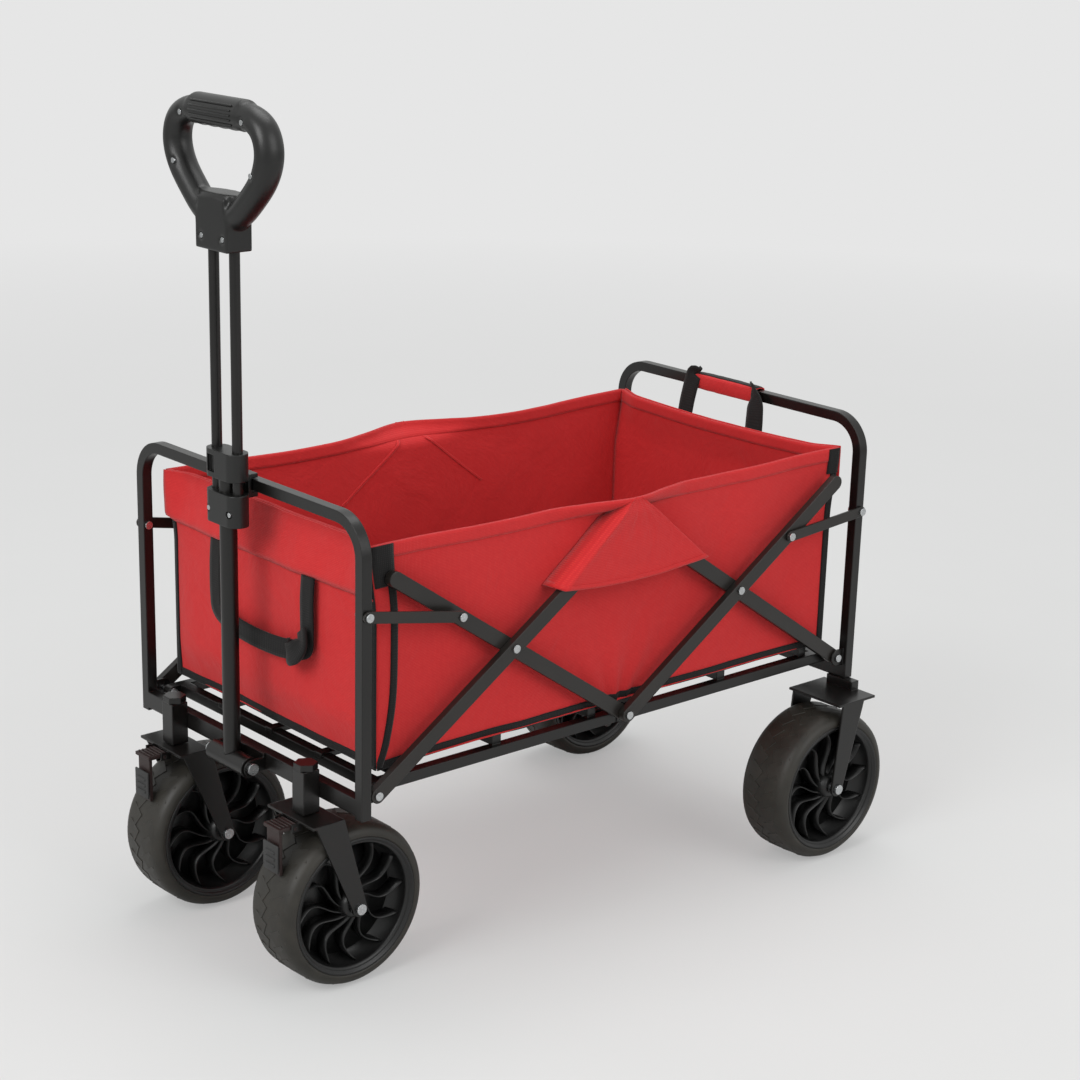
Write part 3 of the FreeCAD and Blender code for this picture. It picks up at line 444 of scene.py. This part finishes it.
flap = {"halfBase": 0.122, "halfPeak": 0.006, "peak": 0.5408, "low": 0.449, "x": 0.2325, "bow": 0.008}
for sideName, sign in (("Right", 1), ("Left", -1)):

    def flapPoint(s, t, sign=sign):
        across = (2 * s - 1)
        width = flap["halfBase"] * (1 - t) + flap["halfPeak"] * t
        z = flap["low"] + (flap["peak"] - flap["low"]) * t - flap["bow"] * (1 - across * across) * (1 - t)
        puff = 0.0014 * noise.noise(Vector((across * 2.5, t * 3, 5 + sign)))
        full = flap["x"] + puff - 0.0045 * smoothStep((t - 0.8) / 0.2)
        sewn = abs(wallPoint("right", across * width / tub["halfY"], min(z, tub["top"]), 0.0022).x)
        reach = sewn + (full - sewn) * smoothStep((1 - abs(across)) / 0.05)
        return Vector((sign * reach, across * width, z))

    flapCloth = toObject(clothGrid(flapPoint, 70, 30, (0.234, 0.092), flip=sign < 0), "flap" + sideName,
                         "red_fabric", "front_frame")
    addSolidify(flapCloth, 0.0014)
    foldFlat(flapCloth)
    if sign > 0:
        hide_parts("side_flaps")

    def edgePoint(s, t, sign=sign):  # narrow seam along the flap's lower edge
        here = flapPoint(s, 0.05 * t)
        return here + Vector((sign * 0.0010, 0, 0))

    seam = toObject(clothGrid(edgePoint, 40, 2, (0.234, 0.006), flip=sign < 0), "flapSeam" + sideName,
                    "red_fabric", "front_frame")
    addSolidify(seam, 0.0016)
    foldFlat(seam)
print("flaps sewn")

# ---------- straps ----------

strap = {"half": 0.092, "low": 0.384, "top": 0.479, "width": 0.024, "thick": 0.002}
frontY = -0.3805
reach, low = strap["half"], strap["low"]
uPath = [(-reach, frontY + 0.002, strap["top"]), (-reach, frontY, 0.45), (-reach, frontY, 0.41),
         (-reach + 0.006, frontY, low + 0.008), (-0.05, frontY - 0.002, low),
         (0.0, frontY - 0.004, low - 0.002), (0.05, frontY - 0.003, low),
         (reach - 0.006, frontY, low + 0.008), (reach, frontY, 0.41),
         (reach, frontY, 0.45), (reach, frontY + 0.002, strap["top"])]
carry = toObject(ribbon(uPath, strap["width"], (0, 1, 0), 90, 4), "frontStrap", "black_webbing", "front_frame")
addSolidify(carry, strap["thick"])
foldFlat(carry)
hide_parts("front_strap")
lumpPath = [(0.060, frontY - 0.003, 0.388), (0.072, frontY - 0.012, 0.384), (0.088, frontY - 0.014, 0.392),
            (0.094, frontY - 0.009, 0.404), (0.088, frontY - 0.004, 0.416)]
lump = toObject(ribbon(lumpPath, 0.026, (0.2, 1, 0.1), 30, 4), "strapLump", "black_webbing", "front_frame")
addSolidify(lump, 0.0035)
foldFlat(lump)
print("straps laid")

# ---------- wrap on the rear rail ----------

wrap = {"x": -0.020, "half": 0.060, "y": 0.397, "z": 0.5745, "reach": 0.0102, "thick": 0.0014}


def wrapPoint(s, t):
    a = 2 * math.pi * t
    squareness = 1 / max(abs(math.cos(a)), abs(math.sin(a))) ** 0.55
    pinch = 1 - 0.10 * (2 * s - 1) ** 6
    crease = noise.noise(Vector((s * 9, math.cos(a), math.sin(a))))
    r = wrap["reach"] * squareness * pinch * (1 + 0.05 * crease)
    along = wrap["x"] + (2 * s - 1) * wrap["half"]
    return Vector((along, wrap["y"] + r * math.cos(a), wrap["z"] + r * math.sin(a)))


sleeve = clothGrid(wrapPoint, 46, 40, (2 * wrap["half"], 0.07), flip=True)
bmesh.ops.remove_doubles(sleeve, verts=sleeve.verts, dist=1e-5)
sleeveCloth = toObject(sleeve, "railWrap", "red_fabric", "rear_frame")
addSolidify(sleeveCloth, wrap["thick"])
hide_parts("rail_wrap")


def closurePoint(s, t):  # the black closure that shows along the top between the red edges
    base = wrapPoint(s, 0.17 + 0.16 * t)
    middle = Vector((base.x, wrap["y"], wrap["z"]))
    return middle + (base - middle) * 1.09


closureGrid = clothGrid(closurePoint, 40, 8, (0.12, 0.012), flip=True)
closure = toObject(closureGrid, "wrapClosure", "black_webbing", "rear_frame")
addSolidify(closure, 0.0012)
hangs = {
    "Left": [(-0.072, 0.394, 0.5842), (-0.074, 0.387, 0.5825), (-0.0755, 0.3835, 0.570), (-0.077, 0.379, 0.548),
             (-0.078, 0.3755, 0.524)],
    "Right": [(0.030, 0.394, 0.5842), (0.036, 0.387, 0.5825), (0.045, 0.3835, 0.572), (0.050, 0.379, 0.550),
              (0.052, 0.3755, 0.518)],
}
for label, path in hangs.items():

    def pinchAt(s, label=label):  # the right strap is gathered where it leaves the rail
        return 0.55 + 0.45 * smoothStep((s - 0.35) / 0.3) if label == "Right" else 0.85

    hangGrid = ribbon(path, 0.030, (0, 1, 0.3), 36, 5, flare=pinchAt)
    hang = toObject(hangGrid, "wrapStrap" + label, "black_webbing", "rear_frame")
    addSolidify(hang, 0.002)
    if label == "Right":
        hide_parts("wrap_straps")
print("rail wrap done")

# ---------- mats ----------

mat = {"low": 0.2806, "high": 0.2884, "bodies": {"mat_front": "floor_front", "mat_rear": "floor_rear"}}
for nodeName, body in mat["bodies"].items():
    low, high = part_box(nodeName)
    bm = bmesh.new()
    boxAt(bm, (high.x - low.x - 0.002, high.y - low.y - 0.002, mat["high"] - mat["low"]),
          ((low.x + high.x) / 2, (low.y + high.y) / 2, (mat["high"] + mat["low"]) / 2))
    top = [f for f in bm.faces if f.normal.z > 0.9]
    bmesh.ops.inset_region(bm, faces=top, thickness=0.014, depth=0)
    bmesh.ops.inset_region(bm, faces=top, thickness=0.002, depth=-0.0012)
    bmesh.ops.inset_region(bm, faces=top, thickness=0.002, depth=0.0012)
    bevelAll(bm, 0.0015, 2)
    layer = bm.loops.layers.uv.new("cloth")
    for face in bm.faces:
        for loop in face.loops:
            loop[layer].uv = (loop.vert.co.x, loop.vert.co.y)
    board = toObject(bm, nodeName.replace("mat_", "matBoard_"), "mat_fabric", body, smooth=False)
    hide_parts(nodeName)
print("mats laid")

# ---------- wheels ----------

wheel = {
    "radius": 0.100,
    "half": 0.038,
    "rim": 0.070,
    "lip": 0.0845,
    "grooveDepth": 0.001,
    "lugs": 30,
    "lugTurn": math.radians(30),
    "lugSize": (0.024, 0.006),
    "lugMiddle": 0.0165,
    "spokes": 12,
    "places": {
        "front_right": (0.136, -0.3705, "front_wheel_right"),
        "front_left": (-0.136, -0.3705, "front_wheel_left"),
        "rear_right": (0.228, 0.338, "rear_wheel_right"),
        "rear_left": (-0.228, 0.338, "rear_wheel_left"),
    },
}


def spunProfile(bm, corners, steps):  # turns a line of (x, radius) corners right round the axle
    verts = [bm.verts.new((x, r, 0)) for x, r in corners]
    edges = [bm.edges.new(pair) for pair in zip(verts, verts[1:] + verts[:1])]
    bmesh.ops.spin(bm, geom=verts + edges, cent=(0, 0, 0), axis=(1, 0, 0), angle=2 * math.pi, steps=steps,
                   use_merge=True, use_duplicate=False)
    bmesh.ops.remove_doubles(bm, verts=bm.verts, dist=1e-6)
    bmesh.ops.recalc_face_normals(bm, faces=bm.faces)


def makeTyre():
    bm = bmesh.new()
    w, r = wheel["half"], wheel["radius"]
    base = r - wheel["grooveDepth"]
    bead = wheel["lip"] - 0.001
    corners = [(-w + 0.004, bead), (-w + 0.0008, bead + 0.001), (-w, bead + 0.003), (-w + 0.0002, r - 0.011),
               (-w + 0.0016, r - 0.0075), (-w + 0.005, r - 0.004), (-w + 0.012, base), (-0.004, base), (0.004, base),
               (w - 0.012, base), (w - 0.005, r - 0.004), (w - 0.0016, r - 0.0075), (w - 0.0002, r - 0.011),
               (w, bead + 0.003), (w - 0.0008, bead + 0.001), (w - 0.004, bead)]
    spunProfile(bm, corners, 96)
    return bm


def makeLugs():  # slanted blocks in two rows that meet in a herringbone
    bm = bmesh.new()
    w, r, depth = wheel["half"], wheel["radius"], wheel["grooveDepth"]
    step = 2 * math.pi / wheel["lugs"]
    wide = step * r * 0.88
    across, deep = wheel["lugSize"]
    for sign in (-1, 1):
        for i in range(wheel["lugs"]):
            slant = Matrix.Rotation(wheel["lugTurn"] * sign, 3, "Z")
            verts = boxAt(bm, (across, wide, deep), (0, 0, 0), slant)
            bmesh.ops.translate(bm, vec=(sign * wheel["lugMiddle"], 0, 0), verts=verts)
            turn = (i + (0.5 if sign > 0 else 0)) * step
            for vert in verts:  # wraps the block round the tread, lower at the shoulder
                x, y, up = vert.co
                shoulder = 0.0030 * smoothStep((abs(x) - 0.020) / 0.014)
                radius = r - shoulder if up > 0 else r - depth - 0.004 - shoulder
                angle = turn + y / r
                x = max(-w + 0.002, min(w - 0.002, x))
                vert.co = (x, radius * math.sin(angle), radius * math.cos(angle))
    bevelAll(bm, 0.0004, 1)
    return bm


def makeLip():  # the ring that stands round each face of the rim and slopes down into the dish
    bm = bmesh.new()
    for sign in (-1, 1):
        lip = wheel["lip"]
        corners = [(0.0372, lip), (0.0380, lip - 0.0013), (0.0375, lip - 0.0030), (0.0350, lip - 0.0044),
                   (0.0345, lip - 0.0056), (0.0355, lip - 0.0068), (0.0290, lip - 0.0084), (0.0060, lip - 0.0125),
                   (0.0060, wheel["rim"] - 0.001), (0.0010, wheel["rim"] - 0.001), (0.0010, lip)]
        ring = bmesh.new()
        spunProfile(ring, [(sign * x, radius) for x, radius in corners], 96)
        mesh = bpy.data.meshes.new("ring")
        ring.to_mesh(mesh)
        ring.free()
        bm.from_mesh(mesh)
    return bm


def makeRim():
    bm = bmesh.new()
    edge = wheel["rim"]
    corners = [(-0.006, edge), (-0.003, 0.030), (-0.002, 0.012), (0.002, 0.012), (0.003, 0.030), (0.006, edge)]
    spunProfile(bm, corners, 72)
    hub = bmesh.new()
    spunProfile(hub, [(-0.035, 0.0045), (-0.035, 0.011), (-0.033, 0.0145), (-0.022, 0.0165), (0.022, 0.0165),
                      (0.033, 0.0145), (0.035, 0.011), (0.035, 0.0045)], 40)
    mesh = bpy.data.meshes.new("hub")
    hub.to_mesh(mesh)
    hub.free()
    bm.from_mesh(mesh)
    return bm


def makeSpokes():  # thin S-curved blades from hub to rim, the same on both faces
    bm = bmesh.new()
    for sign in (-1, 1):
        for i in range(wheel["spokes"]):
            made = bmesh.ops.create_grid(bm, x_segments=14, y_segments=2, size=0.5)
            start = i * 2 * math.pi / wheel["spokes"]
            for vert in made["verts"]:
                s, t = vert.co.x + 0.5, vert.co.y + 0.5
                radius = 0.014 + (0.0745 - 0.014) * s
                bend = 0.55 * math.sin(math.pi * s) * (1 - 0.35 * s) + 0.42 * s
                outer = 0.0275 - 0.006 * math.sin(math.pi * s)
                x = 0.002 + (outer - 0.002) * t
                vert.co = (sign * x, radius * math.sin(start + bend), radius * math.cos(start + bend))
    bmesh.ops.recalc_face_normals(bm, faces=bm.faces)
    return bm


wheelParts = [  # maker, name, finish, the CAD node it stands for
    (makeTyre, "tyreBody", "tread_rubber", "tyre_"),
    (makeLugs, "treadLugs", "tread_rubber", None),
    (makeRim, "rimDish", "rim_plastic", "rim_"),
    (makeLip, "rimLip", "rim_plastic", None),
    (makeSpokes, "rimSpokes", "rim_plastic", None),
]
for label, (x, y, body) in wheel["places"].items():
    for maker, kind, slotName, node in wheelParts:
        bm = maker()
        bmesh.ops.translate(bm, vec=(x, y, wheel["radius"]), verts=bm.verts)
        piece = toObject(bm, kind + "_" + label, slotName, body, smooth=kind != "treadLugs")
        if kind == "rimSpokes":
            addSolidify(piece, 0.0014)
        if node:
            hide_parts(node + label)
print("wheels made")

# ---------- grip ----------

grip = {"voxel": 0.0016, "rounds": 14, "y": -0.423, "flareLow": 0.026, "flareHigh": 0.040, "flareTall": 0.046,
        "flareFlat": 0.42, "flareLift": 0.040}
bm = bmesh.new()
for nodeName in ("grip_front", "grip_rear"):
    bm.from_mesh(frame["nodes"][nodeName].data)
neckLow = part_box("grip_front")[0].z
made = bmesh.ops.create_cone(bm, cap_ends=True, segments=40, radius1=grip["flareLow"],
                             radius2=grip["flareHigh"], depth=grip["flareTall"])["verts"]
bmesh.ops.scale(bm, vec=(1, grip["flareFlat"], 1), verts=made)
bmesh.ops.translate(bm, vec=(0, grip["y"], neckLow + grip["flareLift"]), verts=made)
gripBody = toObject(bm, "gripMoulding", "handle_plastic", "handle_slider")
welded = gripBody.modifiers.new("welded", "REMESH")
welded.mode = "VOXEL"
welded.voxel_size = grip["voxel"]
welded.use_smooth_shade = True
softened = gripBody.modifiers.new("softened", "SMOOTH")
softened.factor = 0.5
softened.iterations = grip["rounds"]
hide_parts("grip_front", "grip_rear")
print("grip moulded")

# ---------- grip ribs ----------

ribs = {"count": 5, "half": 0.040, "deep": 0.0024, "pitch": 0.0052, "thick": 0.0022, "drop": 0.0172,
        "barRadius": 0.0176}
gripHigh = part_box("grip_front")[1]
bm = bmesh.new()
for i in range(ribs["count"]):
    z = gripHigh.z - ribs["drop"] + (i - 2) * ribs["pitch"]
    turn = (i - 2) * ribs["pitch"] / ribs["barRadius"]
    y = grip["y"] - ribs["barRadius"] * math.cos(turn)
    boxAt(bm, (2 * ribs["half"], ribs["deep"], ribs["thick"]), (0, y, z))
bevelAll(bm, 0.0008, 2)
toObject(bm, "gripRibs", "handle_plastic", "handle_slider")
print("ribs on the grip")

# ---------- pedal ridges and pads ----------

pedal = {"ridges": 5, "pitch": 0.005}
for sideName in ("right", "left"):
    low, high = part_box("brake_pedal_" + sideName)
    mid = (low.x + high.x) / 2
    bm = bmesh.new()
    for i in range(pedal["ridges"]):
        boxAt(bm, (0.027, 0.0022, 0.0018), (mid, low.y + 0.004 + i * pedal["pitch"], high.z - 0.0003))
    bevelAll(bm, 0.0005, 1)
    toObject(bm, "pedalRidges_" + sideName, "brake_plastic", "brake_" + sideName)
    pad = bmesh.new()  # grey slotted cover on the drop of the pedal
    boxAt(pad, (0.028, 0.0024, 0.034), (mid, low.y - 0.0008, low.z + 0.021))
    for i in range(3):
        boxAt(pad, (0.018, 0.0022, 0.0035), (mid, low.y - 0.0024, low.z + 0.012 + i * 0.008))
    bevelAll(pad, 0.0008, 2)
    toObject(pad, "pedalPad_" + sideName, "pad_plastic", "brake_" + sideName)
print("pedals ridged")

# ---------- stage ----------

stage = {"half": 60, "far": "#EAEBEA"}
bm = bmesh.new()
bmesh.ops.create_grid(bm, x_segments=1, y_segments=1, size=stage["half"])
floorMesh = bpy.data.meshes.new("floor")
bm.to_mesh(floorMesh)
bm.free()
floor = bpy.data.objects.new("studioFloor", floorMesh)
bpy.context.scene.collection.objects.link(floor)
floorMat, tree, shader = newMaterial("studioPaper", Roughness=0.9, Specular_IOR_Level=0.1)
spot = addNode(tree, "ShaderNodeTexCoord").outputs["Object"]
grain = addNode(tree, "ShaderNodeTexNoise", {"Vector": spot, "Scale": 3.0})
tint = mixColours(tree, grain.outputs[0], "#CFD0CF", "#D4D5D4")
tree.links.new(tint.outputs[2], shader.inputs["Base Color"])
plain = addNode(tree, "ShaderNodeEmission", {"Color": linear("#E6E6E6"), "Strength": 1.0})
ray = addNode(tree, "ShaderNodeLightPath").outputs["Is Camera Ray"]
away = addNode(tree, "ShaderNodeVectorMath", {0: spot}, operation="LENGTH")
fade = addNode(tree, "ShaderNodeMapRange", {"Value": away.outputs["Value"], "From Min": 1.0, "From Max": 5.0,
                                            "To Min": 0.4, "To Max": 1.0})
share = addNode(tree, "ShaderNodeMath", {0: ray, 1: fade.outputs[0]}, operation="MULTIPLY")
both = addNode(tree, "ShaderNodeMixShader", {0: share.outputs[0], 1: shader.outputs[0], 2: plain.outputs[0]})
tree.links.new(both.outputs[0], tree.nodes["Material Output"].inputs["Surface"])
floorMesh.materials.append(floorMat)

world = bpy.data.worlds.new("studioWorld")
bpy.context.scene.world = world
world.use_nodes = True
tree = world.node_tree
tree.nodes.clear()
rays = addNode(tree, "ShaderNodeLightPath").outputs
seen = addNode(tree, "ShaderNodeMath", {0: rays["Is Camera Ray"], 1: rays["Is Glossy Ray"]}, operation="MAXIMUM")
glow = addNode(tree, "ShaderNodeBackground", {"Color": linear("#FFFFFF"), "Strength": 0.62})
back = addNode(tree, "ShaderNodeBackground", {"Color": linear(stage["far"]), "Strength": 1.0})
mixed = addNode(tree, "ShaderNodeMixShader", {0: seen.outputs[0], 1: glow.outputs[0], 2: back.outputs[0]})
addNode(tree, "ShaderNodeOutputWorld", {"Surface": mixed.outputs[0]})

lamps = {
    "key": {"place": (0.6, -3.6, 2.8), "size": 2.2, "power": 92},
    "side": {"place": (3.4, 0.6, 2.2), "size": 2.4, "power": 42},
    "top": {"place": (-0.6, 0.8, 4.0), "size": 2.4, "power": 48},
}
for name, lamp in lamps.items():
    data = bpy.data.lights.new(name, "AREA")
    data.size = lamp["size"]
    data.energy = lamp["power"]
    light = bpy.data.objects.new(name, data)
    bpy.context.scene.collection.objects.link(light)
    light.location = lamp["place"]
    light.rotation_mode = "QUATERNION"
    light.rotation_quaternion = (Vector(lamp["place"]) - Vector((0, 0, 0.4))).to_track_quat("Z", "Y")

shot = {
    "azimuth": 49.633,
    "elevation": 18.029,
    "roll": 1.181,
    "place": (2.14623, -1.84733, 1.27414),
    "lens": 78.23,
    "shift": (0.04123, 0.05648),
}
a, e, r = (math.radians(shot[k]) for k in ("azimuth", "elevation", "roll"))
backward = Vector((math.sin(a) * math.cos(e), -math.cos(a) * math.cos(e), math.sin(e)))
rightward = Vector((math.cos(a), math.sin(a), 0))
upward = backward.cross(rightward)
right = rightward * math.cos(r) + upward * math.sin(r)
up = upward * math.cos(r) - rightward * math.sin(r)
cameraData = bpy.data.cameras.new("camera")
cameraData.lens = shot["lens"]
cameraData.sensor_width = 36
cameraData.shift_x, cameraData.shift_y = shot["shift"]
camera = bpy.data.objects.new("camera", cameraData)
bpy.context.scene.collection.objects.link(camera)
camera.rotation_mode = "QUATERNION"
camera.rotation_quaternion = Matrix((right, up, backward)).transposed().to_quaternion()
camera.location = shot["place"]
bpy.context.scene.camera = camera
bpy.context.scene.view_settings.view_transform = "Standard"
print("stage set")
